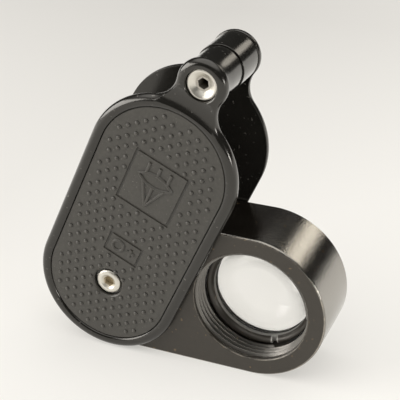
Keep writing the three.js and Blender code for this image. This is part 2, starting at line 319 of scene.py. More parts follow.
def cover_outline(inset):
    """A cover's edge, moved inwards: bottom end, right side, top end, waist, ear, then the left."""
    top_hub, ear_hub = cover_radius + waist_fillet, ear_radius + waist_fillet
    span = neck_reach - arm_length
    rise = (top_hub ** 2 - ear_hub ** 2 + span ** 2) / (2 * span)
    waist = (math.sqrt(top_hub ** 2 - rise ** 2), arm_length + rise)
    top_angle = math.atan2(rise, waist[0])
    ear_angle = math.atan2(neck_reach - waist[1], -waist[0])
    side = cover_radius - inset
    right = arc((0, 0), side, -math.pi / 2, 0, 40)
    right += [(side, arm_length * i / 24) for i in range(1, 24)]
    right += arc((0, arm_length), side, 0, top_angle, 30)
    right += arc(waist, waist_fillet + inset, top_angle + math.pi, ear_angle, 20)[1:]
    right += arc((0, neck_reach), ear_radius - inset, ear_angle - math.pi, math.pi / 2, 24)[1:]
    left = [(-x, z) for x, z in reversed(right[1:-1])]
    return right + left


def pad_outline(gap):
    """A pad's edge, moved inwards by a gap: two round ends and two straight sides."""
    radius = cover_radius - rim_width - gap
    ring = arc((0, 0), radius, math.pi, 2 * math.pi, 96)
    return ring + arc((0, arm_length), radius, 0, math.pi, 96)


def on_side(profile, side):
    """A (radius, height) profile, with its heights measured towards the front or the rear."""
    return [(radius, side * y) for radius, y in profile]


def stack(name, rings, side=REAR):
    """A closed body through rings of equal count, each an outline and its height from the middle."""
    shape = bmesh.new()
    loops = [[shape.verts.new((x, side * y, z)) for x, z in outline] for outline, y in rings]
    for low, high in zip(loops, loops[1:]):
        for i in range(len(low)):
            j = (i + 1) % len(low)
            shape.faces.new((low[i], low[j], high[j], high[i]))
    shape.faces.new(loops[0])
    shape.faces.new(loops[-1])
    bmesh.ops.recalc_face_normals(shape, faces=shape.faces)
    return new_object(name, shape)


def box_body(name, left, right, low, high, near, far):
    """A plain block between two heights, for cutting with."""
    outline = [(left, low), (right, low), (right, high), (left, high)]
    return stack(name, [(outline, near), (outline, far)])


def turned(name, profile, centre=(0, 0), segments=96):
    """A closed profile of (radius, height) turned about an axis along Y at a place in X and Z."""
    shape = bmesh.new()
    columns = []
    poles = {}
    for k in range(segments):
        angle = 2 * math.pi * k / segments
        column = []
        for i, (radius, y) in enumerate(profile):
            if radius < 1e-6:
                if i not in poles:
                    poles[i] = shape.verts.new((centre[0], y, centre[1]))
                column.append(poles[i])
            else:
                place = (centre[0] + radius * math.cos(angle), y, centre[1] + radius * math.sin(angle))
                column.append(shape.verts.new(place))
        columns.append(column)
    for here, there in zip(columns, columns[1:] + columns[:1]):
        for i in range(len(profile)):
            j = (i + 1) % len(profile)
            corners = []
            for corner in (here[i], there[i], there[j], here[j]):
                if corner not in corners:
                    corners.append(corner)
            if len(corners) > 2:
                shape.faces.new(corners)
    bmesh.ops.recalc_face_normals(shape, faces=shape.faces)
    return new_object(name, shape)


def rod(name, radius, low, high, centre=(0, 0)):
    """A plain round bar along Y between two heights."""
    return turned(name, [(0, low), (radius, low), (radius, high), (0, high)], centre)


def apply_modifiers(piece):
    """Keeps what the modifiers make as a plain mesh."""
    graph = bpy.context.evaluated_depsgraph_get()
    mesh = bpy.data.meshes.new_from_object(piece.evaluated_get(graph))
    piece.modifiers.clear()
    piece.data = mesh


def shape_with(piece, *tools, operation="DIFFERENCE"):
    """Cuts tools out of a piece, or joins them to it, and uses the tools up."""
    for tool in tools:
        cut = piece.modifiers.new("cut", "BOOLEAN")
        cut.operation = operation
        cut.solver = "EXACT"
        cut.object = tool
        apply_modifiers(piece)
        bpy.data.objects.remove(tool)
    return piece


def break_edges(piece, width, angle=35):
    """Rounds every edge that is sharper than an angle by a small width, in millimetres."""
    bevel = piece.modifiers.new("edge", "BEVEL")
    bevel.width = width
    bevel.segments = 2
    bevel.limit_method = "ANGLE"
    bevel.angle_limit = math.radians(angle)
    apply_modifiers(piece)


def settle(piece, placing, body, nodes, finish, smooth=30):
    """Puts a piece made in millimetres in its place, with its finish, instead of its CAD nodes."""
    piece.data.transform(placing)
    shape = bmesh.new()
    shape.from_mesh(piece.data)
    bmesh.ops.remove_doubles(shape, verts=shape.verts, dist=1e-7)
    shape.to_mesh(piece.data)
    shape.free()
    piece.data.shade_smooth()
    piece.data.set_sharp_from_angle(angle=math.radians(smooth))
    weighted = piece.modifiers.new("normals", "WEIGHTED_NORMAL")
    weighted.keep_sharp = True
    apply_modifiers(piece)
    piece.data.materials.clear()
    piece.data.materials.append(finish.material)
    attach(piece, body)
    if nodes:
        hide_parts(*nodes)
        piece.name = "finished_" + nodes[0]


cover_black = Finish("cover_black", Specular_IOR_Level=0.70, Specular_Tint=(1, 0.97, 0.92, 1))
mould_cloud = cover_black.noise(0.006, 4)
mould_grain = cover_black.noise(0.00025, 2)
dust = cover_black.spread(cover_black.noise(0.0006, 1.5), 0, 1, 0.70, 0.76)
cover_tone = cover_black.blend(mould_cloud, (0.008, 0.0075, 0.0065), (0.014, 0.013, 0.011))
cover_black.feed("Base Color", cover_black.blend(dust, cover_tone, (0.10, 0.095, 0.085)))
cover_black.feed("Roughness", cover_black.spread(mould_cloud, 0.13, 0.22, 0.3, 0.7))
cover_black.relief((mould_grain, 0.000004), (mould_cloud, 0.00002))


def cover(name, side, boss_radius, neck_hole, pivot_hole):
    """One shell: rolled edge, pocket with a sloped wall for the pad, ear recess, boss and holes."""
    rings = []
    for inset, height in ((inner_edge, 0), (0.07, 0.07), (0, inner_edge)):
        rings.append((cover_outline(inset), inner_face + height))
    for i in range(10):
        angle = math.radians(10 * i)
        inset = rim_rounding * (1 - math.cos(angle))
        rings.append((cover_outline(inset), rim_top - rim_rounding * (1 - math.sin(angle))))
    shell = stack(name, rings, side)

    boss = [(0, seat_gap), (boss_radius - boss_edge, seat_gap), (boss_radius, seat_gap + boss_edge)]
    for i in range(9):
        angle = math.radians(10 * i)
        radius = boss_radius + (ear_radius - inner_edge - boss_radius) * (1 - math.cos(angle))
        boss.append((radius, inner_face - boss_flare + (boss_flare + boss_root) * math.sin(angle)))
    inside_shell = inner_face + 0.3
    boss += [(boss[-1][0], inside_shell), (0, inside_shell)]
    shape_with(shell, turned("boss", on_side(boss, side), neck_place), operation="UNION")

    pocket_rings = [(pad_outline(0), pad_floor)]
    roll_drop = rim_top - pad_face + 0.1
    for i in range(7):
        angle = math.radians(15 * i)
        outline = pad_outline(-rim_roll * (1 - math.cos(angle)))
        pocket_rings.append((outline, rim_top - roll_drop * (1 - math.sin(angle))))
    pocket_rings.append((pad_outline(-rim_roll), rim_top + cut_past))
    pocket = stack("pocket", pocket_rings, side)

    recess = [(0, recess_floor), (recess_radius, recess_floor)]
    for i in range(7):
        angle = math.radians(15 * i)
        radius = recess_radius + recess_lip_width * (1 - math.cos(angle))
        recess.append((radius, rim_top - recess_lip_depth * (1 - math.sin(angle))))
    recess += [(recess_radius + recess_lip_width, rim_top + cut_past), (0, rim_top + cut_past)]
    recess = turned("recess", on_side(recess, side), neck_place)

    # A shallow hollow crosses the shell where its round end runs into the ear. It is cut with
    # the upper half of a thick ring.
    section = arc(valley_centre, valley_radius, 0, 2 * math.pi, 60)[:-1]
    valley = turned("valley", on_side(section, side), valley_hub, 144)
    reach = 30
    near, far = side * (rim_top - 3), side * (rim_top + 12)
    shape_with(valley, box_body("low_half", -reach, reach, -reach, arm_length, near, far))

    shape_with(shell, pocket, valley, recess, neck_hole)
    shape_with(shell, rod("hole", pivot_hole, 0, side * (rim_top + cut_past)))
    break_edges(shell, 0.06, angle=65)
    settle(shell, case_frame, "case", [name], cover_black)


hole_step = neck_shoulder - recess_floor
front_neck_hole = turned("front_hole", [
    (0, -rim_top - cut_past), (neck_shank_hole, -rim_top - cut_past), (neck_shank_hole, hole_step),
    (neck_tube_hole, hole_step), (neck_tube_hole, cut_past), (0, cut_past),
], neck_place)
rear_neck_hole = rod("rear_hole", neck_tube_hole, -cut_past, rim_top + cut_past, neck_place)
cover("front_cover", FRONT, front_boss_radius, front_neck_hole, pivot_shank_hole)
cover("rear_cover", REAR, rear_boss_radius, rear_neck_hole, pivot_post_hole)

# ---- Grip pads -----------------------------------------------------------
# Plates of matte dark plastic let into the covers. The front one has a square frame with the sign
# of a lens and its rays, and a small frame with a ring and a plus. Rows of round studs fill the rest.
pad_gap = 0.06
pad_edge = 0.14
pivot_head_radius = 2.48
post_head_radius = 2.9
front_pocket_radius = pivot_head_radius + 0.45
rear_pocket_radius = post_head_radius + 0.25
pocket_bevel = 0.25
square = {"half": 5.56, "low": 18.5, "high": 30.0}
label = {"half": 3.6, "low": 6.7, "high": 11.3}
line_width = 0.5
line_depth = 0.25
sign_width = 0.66
sign_height = 0.3
stud_start = (-11.9, 0.0, 26.86)
stud_step_across = (1.905, 0.0, -0.629)
stud_step_down = (0.607, 0.0, -1.978)
stud_radius = 0.42
stud_height = 0.36
stud_margin = 1.2
stud_foot = 0.1
stud_crown = 0.3
studs_off_screw = 3.2
studs_off_nut = 3.9

grip_plastic = Finish("grip_plastic", Specular_IOR_Level=0.45)
pad_cloud = grip_plastic.noise(0.004, 4)
pad_grain = grip_plastic.noise(0.00014, 3, 0.65)
pad_mottle = grip_plastic.noise(0.0005, 3)
pad_tone = grip_plastic.blend(pad_mottle, (0.044, 0.041, 0.035), (0.080, 0.075, 0.065))
pad_specks = grip_plastic.spread(grip_plastic.noise(0.0003, 1), 0, 1, 0.72, 0.78)
pad_tone = grip_plastic.blend(pad_specks, pad_tone, (0.16, 0.15, 0.13))
# Painted highlight: the rubbed tops of the studs are coloured lighter.
pad_tone = grip_plastic.blend(grip_plastic.attribute("rubbed_and_highlit"), pad_tone, (0.098, 0.092, 0.081))
# Painted shade: the feet of the studs are coloured nearly black.
pad_tone = grip_plastic.blend(grip_plastic.attribute("painted_foot_shade"), pad_tone, (0.012, 0.011, 0.010))
grip_plastic.feed("Base Color", pad_tone)
grip_plastic.feed("Roughness", grip_plastic.spread(pad_cloud, 0.28, 0.40, 0.3, 0.7))
grip_plastic.relief((pad_grain, 0.00003), (pad_mottle, 0.00002))


def frame_cutter(window):
    """The square groove round a window in a pad."""
    outer = box_body(
        "groove", -window["half"], window["half"], window["low"], window["high"],
        -(pad_face - line_depth), -(pad_face + cut_past),
    )
    inside = window["half"] - line_width
    island = box_body(
        "island", -inside, inside, window["low"] + line_width, window["high"] - line_width,
        -(pad_face - 2 * line_depth), -(pad_face + 2 * cut_past),
    )
    return shape_with(outer, island)


def bead(points, width, height, closed):
    """A raised line with a round top along points in X and Z, standing on the front pad."""
    curve = bpy.data.curves.new("bead", "CURVE")
    curve.dimensions = "3D"
    spline = curve.splines.new("POLY")
    spline.points.add(len(points) - 1)
    for point, (x, z) in zip(spline.points, points):
        point.co = (x, -pad_face, z, 1)
    spline.use_cyclic_u = closed
    curve.bevel_depth = width / 2
    curve.bevel_resolution = 3
    curve.use_fill_caps = True
    line = bpy.data.objects.new("bead", curve)
    scene.collection.objects.link(line)
    graph = bpy.context.evaluated_depsgraph_get()
    mesh = bpy.data.meshes.new_from_object(line.evaluated_get(graph))
    bpy.data.objects.remove(line)
    for vertex in mesh.vertices:
        vertex.co.y = -pad_face + (vertex.co.y + pad_face) * 2 * height / width
    return mesh


def lens_sign():
    """A lens seen from its edge, with three rays that meet below it."""
    x, z = 0, (square["low"] + square["high"]) / 2 + 1.4
    reach, ball = 3.4, 5.2
    swing = math.asin(reach / ball)
    drop = ball * math.cos(swing)
    upper = arc((x, z - drop), ball, math.pi / 2 - swing, math.pi / 2 + swing, 16)
    lower = arc((x, z + drop), ball, 1.5 * math.pi - swing, 1.5 * math.pi + swing, 16)
    focus = (x, square["low"] + 1.5)
    lines = [(upper + lower[1:-1], True)]
    for offset in (-2.2, 0, 2.2):
        top = z + math.sqrt(ball ** 2 - offset ** 2) - drop
        bottom = z - math.sqrt(ball ** 2 - offset ** 2) + drop
        lines.append(([(x + offset, square["high"] - 1.3), (x + offset, top + 0.1)], False))
        lines.append(([(x + offset, bottom - 0.1), focus], False))
    return lines


def plus_sign():
    """A ring with a plus beside it, for how much the lens enlarges."""
    z = (label["low"] + label["high"]) / 2
    lines = [(arc((-1.2, z), 1.1, 0, 2 * math.pi, 24)[:-1], True)]
    lines.append(([(0.7, z), (2.3, z)], False))
    lines.append(([(1.5, z - 0.8), (1.5, z + 0.8)], False))
    return lines


def join(piece, meshes):
    """Adds loose meshes to a piece as they are."""
    shape = bmesh.new()
    shape.from_mesh(piece.data)
    for mesh in meshes:
        shape.from_mesh(mesh)
        bpy.data.meshes.remove(mesh)
    shape.to_mesh(piece.data)
    shape.free()


def pad(name, side, pocket_radius, windows, beads):
    """One pad: a plate with broken edges, the screw's pocket, and any frames and raised signs."""
    rings = [(pad_outline(pad_gap), pad_floor + seat_gap)]
    for i in range(4):
        angle = math.radians(30 * i)
        outline = pad_outline(pad_gap + pad_edge * (1 - math.cos(angle)))
        rings.append((outline, pad_face - pad_edge * (1 - math.sin(angle))))
    plate = stack(name, rings, side)
    pocket_mouth = pocket_radius + pocket_bevel
    pocket = [
        (0, pad_floor - cut_past), (pocket_radius, pad_floor - cut_past),
        (pocket_radius, pad_face - pocket_bevel), (pocket_mouth, pad_face + 0.01),
        (pocket_mouth, pad_face + cut_past), (0, pad_face + cut_past),
    ]
    shape_with(plate, turned("pocket", on_side(pocket, side)))
    for window in windows:
        shape_with(plate, frame_cutter(window))
    if windows:
        break_edges(plate, 0.06, angle=60)
    join(plate, beads)
    settle(plate, case_frame, "case", [name], grip_plastic)


signs = [bead(points, sign_width, sign_height, closed) for points, closed in lens_sign() + plus_sign()]
pad("front_grip_pad", FRONT, front_pocket_radius, [square, label], signs)
pad("rear_grip_pad", REAR, rear_pocket_radius, [], [])


class Pattern:
    """A geometry nodes tree with named inputs, and short calls for the nodes in it."""

    def __init__(self, name, numbers, vectors):
        self.tree = bpy.data.node_groups.new(name, "GeometryNodeTree")
        face = self.tree.interface
        face.new_socket("Geometry", in_out="OUTPUT", socket_type="NodeSocketGeometry")
        for kind, titles in (("Float", numbers), ("Vector", vectors), ("Material", ["Material"])):
            for title in titles:
                face.new_socket(title, in_out="INPUT", socket_type="NodeSocket" + kind)
        self.given = self.tree.nodes.new("NodeGroupInput").outputs

    def node(self, kind, mode=None, **inputs):
        """A node with its inputs set, each to a value or to another node's socket."""
        node = self.tree.nodes.new(kind)
        if mode:
            node.mode = mode
        for title, value in inputs.items():
            plug(self.tree.links, node.inputs[title.replace("_", " ")], value)
        return node

    def work(self, operation, *values, kind="ShaderNodeMath"):
        """One step of arithmetic on numbers, or on vectors."""
        node = self.tree.nodes.new(kind)
        node.operation = operation
        for socket, value in zip(node.inputs, values):
            plug(self.tree.links, socket, value)
        return node.outputs[0]

    def end(self, geometry):
        """Makes every copy real, in the material that is given, and hands the result out."""
        real = self.node("GeometryNodeRealizeInstances", Geometry=geometry).outputs[0]
        painted = self.node("GeometryNodeSetMaterial", Geometry=real, Material=self.given["Material"])
        out = self.tree.nodes.new("NodeGroupOutput")
        self.tree.links.new(painted.outputs[0], out.inputs[0])


def stud_pattern():
    """A three-way lattice of domes, kept where the pad is clear for them."""
    pattern = Pattern("grip_studs", (
        "Radius", "Height", "Reach", "Arm Length", "Screw Clearance", "Face", "Side",
        "Square Half", "Square Low", "Square High", "Label Half", "Label Low", "Label High",
    ), ("Start", "Step Across", "Step Down"))
    given, node, work = pattern.given, pattern.node, pattern.work
    rows = 61
    grid = node("GeometryNodeMeshGrid", Vertices_X=rows, Vertices_Y=rows, Size_X=rows - 1, Size_Y=rows - 1)
    here = node("GeometryNodeInputPosition").outputs[0]
    step = node("ShaderNodeSeparateXYZ", Vector=here).outputs
    place = given["Start"]
    for count, stride in ((step["X"], "Step Across"), (step["Y"], "Step Down")):
        place = work("MULTIPLY_ADD", count, given[stride], place, kind="ShaderNodeVectorMath")
    lift = node("ShaderNodeCombineXYZ", Y=work("MULTIPLY", given["Face"], given["Side"])).outputs[0]
    moved = node("GeometryNodeSetPosition", Geometry=grid.outputs["Mesh"], Position=place, Offset=lift)
    at = node("ShaderNodeSeparateXYZ", Vector=here).outputs
    across, up = at["X"], at["Z"]

    def distance(side_way, up_way):
        squares = [work("POWER", leg, 2.0) for leg in (side_way, up_way)]
        return work("SQRT", work("ADD", *squares))

    def all_of(tests):
        result = tests[0]
        for test in tests[1:]:
            result = work("MULTIPLY", result, test)
        return result

    def outside(title):
        within = all_of([
            work("LESS_THAN", work("ABSOLUTE", across), given[title + " Half"]),
            work("GREATER_THAN", up, given[title + " Low"]),
            work("LESS_THAN", up, given[title + " High"]),
        ])
        return work("SUBTRACT", 1.0, within)

    level = work("MINIMUM", work("MAXIMUM", up, 0.0), given["Arm Length"])
    from_spine = distance(across, work("SUBTRACT", up, level))
    keep = all_of([
        work("LESS_THAN", from_spine, given["Reach"]),
        work("GREATER_THAN", distance(across, up), given["Screw Clearance"]),
        outside("Square"),
        outside("Label"),
    ])
    drop = work("LESS_THAN", keep, 0.5)
    kept = node("GeometryNodeDeleteGeometry", Geometry=moved.outputs[0], Selection=drop).outputs[0]

    ball = node("GeometryNodeMeshUVSphere", Segments=12, Rings=8, Radius=1.0).outputs["Mesh"]
    size = node("ShaderNodeCombineXYZ", X=given["Radius"], Y=given["Radius"], Z=given["Height"]).outputs[0]
    stud = node("GeometryNodeTransform", Geometry=ball, Rotation=(math.pi / 2, 0, 0), Scale=size).outputs[0]
    smooth = node("GeometryNodeSetShadeSmooth", Geometry=stud).outputs[0]
    pattern.end(node("GeometryNodeInstanceOnPoints", Points=kept, Instance=smooth).outputs[0])
    return pattern.tree


def grown(name, tree, settings):
    """Runs a geometry nodes tree with its inputs set, and keeps the result as a plain mesh."""
    piece = bpy.data.objects.new(name, bpy.data.meshes.new(name))
    scene.collection.objects.link(piece)
    modifier = piece.modifiers.new("tree", "NODES")
    modifier.node_group = tree
    for item in tree.interface.items_tree:
        if item.in_out == "INPUT" and item.name in settings:
            modifier[item.identifier] = settings[item.name]
    apply_modifiers(piece)
    return piece


studs = stud_pattern()


def mark(piece, name, value):
    """Stores a value at each vertex, worked out from where it is in the piece's own frame."""
    layer = piece.data.attributes.new(name, "FLOAT", "POINT")
    layer.data.foreach_set("value", [value(vertex.co) for vertex in piece.data.vertices])


def stud_field(name, side, screw_clearance, windows):
    """The studs of one pad, which keep clear of its edge, of its screw and of its frames."""
    settings = {
        "Radius": stud_radius, "Height": stud_height, "Reach": cover_radius - rim_width - stud_margin,
        "Arm Length": arm_length, "Screw Clearance": screw_clearance, "Face": pad_face,
        "Side": float(side), "Start": stud_start, "Step Across": stud_step_across,
        "Step Down": stud_step_down, "Material": grip_plastic.material,
    }
    for title, window in windows.items():
        settings[title + " Half"] = window["half"] + stud_radius
        settings[title + " Low"] = window["low"] - stud_radius
        settings[title + " High"] = window["high"] + stud_radius
    field = grown(name, studs, settings)
    # Painted shade round the foot of each stud.
    mark(field, "painted_foot_shade", lambda place: 1.0 if abs(place.y) < pad_face + stud_foot else 0.0)
    # The tops of the studs are rubbed, and coloured lighter as a painted highlight.
    mark(field, "rubbed_and_highlit", lambda place: 1.0 if abs(place.y) > pad_face + stud_crown else 0.0)
    settle(field, case_frame, "case", [], grip_plastic, smooth=60)


stud_field("front_grip_studs", FRONT, studs_off_screw, {"Square": square, "Label": label})
stud_field("rear_grip_studs", REAR, studs_off_nut, {})

# ---- Lens holder ---------------------------------------------------------
# A thick block milled from aluminium with two round ends and anodised black. Its edges are broken
# with a small chamfer that has worn bright, and the lens bore is threaded from both faces.
holder_frame = Matrix.Translation(pivot) @ Matrix.Scale(MM, 4)
mouth_radius = 10.5
thread_depth = 0.5
thread_pitch = 1.0
thread_root = mouth_radius + thread_depth
edge_chamfer = 0.35
mouth_chamfer = 0.2
bushing_hole = 3.32
washer_pocket_radius = 4.8
washer_pocket_depth = 0.7
lens_place = (arm_length, 0)
ring_front, ring_front_end = ends_of("front_retaining_ring")
ring_rear, ring_rear_end = ends_of("rear_retaining_ring")

anodised = Finish("anodised_black", IOR=2.1, Specular_Tint=(1, 0.955, 0.88, 1))
milled = anodised.attribute("milled")
grain = anodised.noise(0.00045, 3, 0.6)
stain = anodised.noise(0.005, 4)
specks = anodised.spread(anodised.noise(0.0008, 1), 0, 1, 0.72, 0.77)
scuff = anodised.spread(anodised.noise(0.0012, 4, 0.6), 0.0, 1.0, 0.38, 0.62)
worn = anodised.combine("MULTIPLY", anodised.attribute("wear"), scuff)
side_tone = anodised.blend(stain, (0.005, 0.004, 0.003), (0.009, 0.0075, 0.006))
face_tone = anodised.blend(anodised.noise(0.0015, 5, 0.65), (0.019, 0.016, 0.0125), (0.034, 0.029, 0.023))
holder_tone = anodised.blend(milled, side_tone, face_tone)
holder_tone = anodised.blend(specks, holder_tone, (0.14, 0.095, 0.05))
holder_tone = anodised.blend(worn, holder_tone, (0.34, 0.31, 0.26))
# Pale, partly metallic colour where that mark is set: all over the lens cell, and as painted light on the
# thread crests and in the retaining rings' slots and bore walls.
bare_and_lit = anodised.attribute("bare_and_lit")
anodised.feed("Base Color", anodised.blend(bare_and_lit, holder_tone, (0.50, 0.49, 0.46)))
bright_metal = anodised.combine("MAXIMUM", anodised.spread(worn, 0.0, 0.8), anodised.spread(bare_and_lit, 0.0, 0.3))
anodised.feed("Metallic", bright_metal)
anodised.feed("Specular IOR Level", anodised.spread(milled, 1.0, 0.2))
side_gloss = anodised.spread(stain, 0.11, 0.17, 0.3, 0.7)
anodised.feed("Roughness", anodised.combine("MAXIMUM", side_gloss, anodised.spread(milled, 0.0, 0.36)))
anodised.relief((grain, 0.000028), (anodised.noise(0.00018, 2), 0.000018))


def holder_outline(inset):
    """The holder's edge, moved inwards: two round ends and two straight sides."""
    radius = holder_radius - inset
    ring = arc((0, 0), radius, math.pi / 2, 1.5 * math.pi, 72)
    ring += [(arm_length * i / 16, -radius) for i in range(1, 16)]
    ring += arc(lens_place, radius, -math.pi / 2, math.pi / 2, 72)
    return ring + [(arm_length * (16 - i) / 16, radius) for i in range(1, 16)]


edge_steps = ((edge_chamfer, 0), (0.26, 0.03), (0.14, 0.12), (0.05, 0.24), (0, edge_chamfer))
holder_rings = [(holder_outline(inset), down - holder_face) for inset, down in edge_steps]
holder_rings += [(holder_outline(inset), holder_face - down) for inset, down in reversed(edge_steps)]
holder = stack("lens_holder", holder_rings)
bore = [(0, -holder_face - cut_past)]
for down in (-cut_past, 0, mouth_chamfer / 2, mouth_chamfer):
    bore.append((thread_root + mouth_chamfer - down, down - holder_face))
bore += [(radius, -y) for radius, y in reversed(bore)]
shape_with(holder, turned("bore", bore, lens_place, 144))
shape_with(holder, rod("pivot_bore", bushing_hole, -holder_face - cut_past, holder_face + cut_past))
pocket_floor = holder_face - washer_pocket_depth
shape_with(holder, rod("washer_pocket", washer_pocket_radius, pocket_floor, holder_face + cut_past))


def edge_wear(place):
    """How worn an edge is: most on the outer chamfers, less on the bore's, and nothing elsewhere."""
    down = holder_face - abs(place.y)
    along = min(max(place.x, 0), arm_length)
    if math.hypot(place.x - along, place.z) > holder_radius - edge_chamfer:
        return 1.0 if 0.02 < down < 0.2 else 0.0
    return 0.7 if 0.05 < down < 0.15 else 0.0


def cutter_marks(place):
    """One on the two faces and in the lens bore, which the cutter leaves duller than the sides."""
    on_face = holder_face - abs(place.y) < 0.01
    in_bore = math.hypot(place.x - arm_length, place.z) < thread_root + 0.25
    return 1.0 if on_face or in_bore else 0.0


mark(holder, "wear", edge_wear)
mark(holder, "milled", cutter_marks)
settle(holder, holder_frame, "holder", ["lens_holder"], anodised)


def thread_pattern():
    """A ridge of triangular section along a helix about the Y axis."""
    pattern = Pattern("screw_thread", ("Turns", "Pitch", "Root Radius", "Depth", "Start Height"), ["Axis"])
    given, node, work = pattern.given, pattern.node, pattern.work
    helix = node(
        "GeometryNodeCurveSpiral", Resolution=96, Rotations=given["Turns"],
        Start_Radius=given["Root Radius"], End_Radius=given["Root Radius"],
        Height=work("MULTIPLY", given["Turns"], given["Pitch"]),
    )
    upright = node("GeometryNodeSetCurveNormal", mode="Z_UP", Curve=helix.outputs[0])

    def corner(across, along):
        """A corner of the ridge, as shares of the thread's depth and of its pitch."""
        across = work("MULTIPLY", given["Depth"], across)
        along = work("MULTIPLY", given["Pitch"], along)
        return node("ShaderNodeCombineXYZ", X=across, Y=along).outputs[0]

    section = node(
        "GeometryNodeCurvePrimitiveQuadrilateral", mode="POINTS",
        Point_1=corner(-0.4, 0.47), Point_2=corner(1.0, 0.06),
        Point_3=corner(1.0, -0.06), Point_4=corner(-0.4, -0.47),
    )
    ridge = node(
        "GeometryNodeCurveToMesh", Curve=upright.outputs[0], Profile_Curve=section.outputs[0],
        Fill_Caps=True,
    ).outputs[0]
    shift = node("ShaderNodeCombineXYZ", Y=given["Start Height"]).outputs[0]
    start = work("ADD", shift, given["Axis"], kind="ShaderNodeVectorMath")
    placed = node("GeometryNodeTransform", Geometry=ridge, Rotation=(-math.pi / 2, 0, 0), Translation=start)
    pattern.end(placed.outputs[0])
    return pattern.tree


threads = thread_pattern()


def thread(name, start, end):
    """The thread of the lens bore between two heights, its crests coloured a little pale as a painted
    highlight.
    """
    margin = 0.55 * thread_pitch
    ridge = grown(name, threads, {
        "Turns": (end - start - 2 * margin) / thread_pitch, "Pitch": thread_pitch,
        "Root Radius": thread_root, "Depth": thread_depth, "Start Height": start + margin,
        "Axis": (arm_length, 0.0, 0.0), "Material": anodised.material,
    })
    shape = bmesh.new()
    shape.from_mesh(ridge.data)
    bmesh.ops.recalc_face_normals(shape, faces=shape.faces)
    shape.to_mesh(ridge.data)
    shape.free()
    crest = thread_root - 0.7 * thread_depth
    mark(ridge, "milled", lambda place: 0.6)
    # Painted highlight along the crests.
    mark(ridge, "bare_and_lit", lambda place: 0.16 if math.hypot(place.x - arm_length, place.z) < crest else 0.0)
    settle(ridge, holder_frame, "holder", [], anodised, smooth=40)


thread("front_thread", -holder_face, ring_front + 0.1)
thread("rear_thread", ring_rear_end - 0.1, holder_face)

# ---- Retaining rings and lens cell ---------------------------------------
# Thin threaded rings turned from aluminium and anodised black. Each has a bevelled bore and two
# slots for a spanner, and between them they hold the thin cell that the lens is set in.
running_gap = 0.05
ring_bore = 9.3
ring_outside = mouth_radius - running_gap
ring_edge = 0.1
ring_bevel = ((0.85, 0), (0.55, 0.12), (0.25, 0.4), (0.05, 0.8), (0, 1))
cell_wall = 0.5
cell_front, cell_back = ends_of("lens_cell")
slot_width = 1.0
slot_depth = 0.9
slot_turn = math.radians(18)


def retaining_ring(name, inner_end, outer_end):
    """A ring between two heights, slotted in its outer end."""
    way = 1 if outer_end > inner_end else -1
    profile = [
        (ring_bore, inner_end), (ring_outside, inner_end),
        (ring_outside, outer_end - way * ring_edge), (ring_outside - ring_edge, outer_end),
    ]
    profile += [(ring_bore + out, outer_end - way * down) for out, down in ring_bevel]
    ring = turned(name, profile, lens_place, 144)
    half = slot_width / 2
    reach = mouth_radius + cut_past
    slot = box_body(
        "slot", -half, half, -reach, reach, outer_end - way * slot_depth, outer_end + way * cut_past,
    )
    slot.data.transform(Matrix.Translation((arm_length, 0, 0)) @ Matrix.Rotation(-slot_turn, 4, "Y"))
    shape_with(ring, slot)
    break_edges(ring, 0.04)
    mark(ring, "milled", lambda place: 1.0)

    def bright(place):
        """Painted light on the bore's wall and in the slots, which are coloured pale and partly metallic so
        that they show light where they lie in shade.
        """
        over, up = place.x - arm_length, place.z
        if abs(over * math.cos(slot_turn) + up * math.sin(slot_turn)) < half + 0.08:
            return 1.0
        return 0.8 if math.hypot(over, up) < ring_bore + 0.02 else 0.0

    # Painted light in the slots and on the bore's wall.
    mark(ring, "bare_and_lit", bright)
    settle(ring, holder_frame, "holder", [name], anodised)


retaining_ring("front_retaining_ring", ring_front_end, ring_front)
retaining_ring("rear_retaining_ring", ring_rear, ring_rear_end)
cell = turned("lens_cell", [
    (ring_outside - cell_wall, cell_front), (ring_outside, cell_front),
    (ring_outside, cell_back), (ring_outside - cell_wall, cell_back),
], lens_place, 144)
mark(cell, "milled", lambda place: 1.0)
mark(cell, "bare_and_lit", lambda place: 1.0)
settle(cell, holder_frame, "holder", ["lens_cell"], anodised)

# ---- Lens ----------------------------------------------------------------
# Three polished glass elements cemented into one: a strong middle one between two thin outer ones.
# The outer faces are coated, and the edges are ground.
lens_radius = ring_outside - cell_wall - running_gap
lens_land = 0.75
outer_ball = 22.0
cement_ball = 20.0
lens_middle = (cell_front + cell_back) / 2
lens_half_edge = (cell_back - cell_front) / 2
cement_edge = 0.625

lens_glass = Finish(
    "lens_glass", Transmission_Weight=1.0, IOR=1.5, Roughness=0.0,
    Specular_Tint=(0.05, 0.045, 0.06, 1),
)
smear = lens_glass.noise(0.003, 4, 0.6)
lens_glass.feed("Base Color", lens_glass.blend(smear, (1.0, 0.998, 0.994), (0.985, 0.984, 0.978)))


def dome(ball, edge, height, bulge):
    """Points of a ball's cap from its middle out to its edge, where it has the given height."""
    points = []
    steps = 20
    for i in range(steps + 1):
        radius = edge * i / steps
        rise = math.sqrt(ball ** 2 - radius ** 2) - math.sqrt(ball ** 2 - edge ** 2)
        points.append((radius, height + bulge * rise))
    return points


def outer_element(name, side):
    """A front or rear element: cemented on its inner face and polished round on its outer one."""
    cemented = dome(cement_ball, lens_radius, lens_middle + side * (cement_edge + seat_gap), side)
    land = lens_middle + side * lens_half_edge
    polished = dome(outer_ball, lens_radius - lens_land, land, side)
    element = turned(name, cemented + [(lens_radius, land)] + polished[::-1], lens_place)
    settle(element, holder_frame, "holder", [name], lens_glass)


outer_element("front_lens_element", FRONT)
middle_front = dome(cement_ball, lens_radius, lens_middle - cement_edge, FRONT)
middle_rear = dome(cement_ball, lens_radius, lens_middle + cement_edge, REAR)
middle_element = turned("middle_lens_element", middle_front + middle_rear[::-1], lens_place)
settle(middle_element, holder_frame, "holder", ["middle_lens_element"], lens_glass)
outer_element("rear_lens_element", REAR)

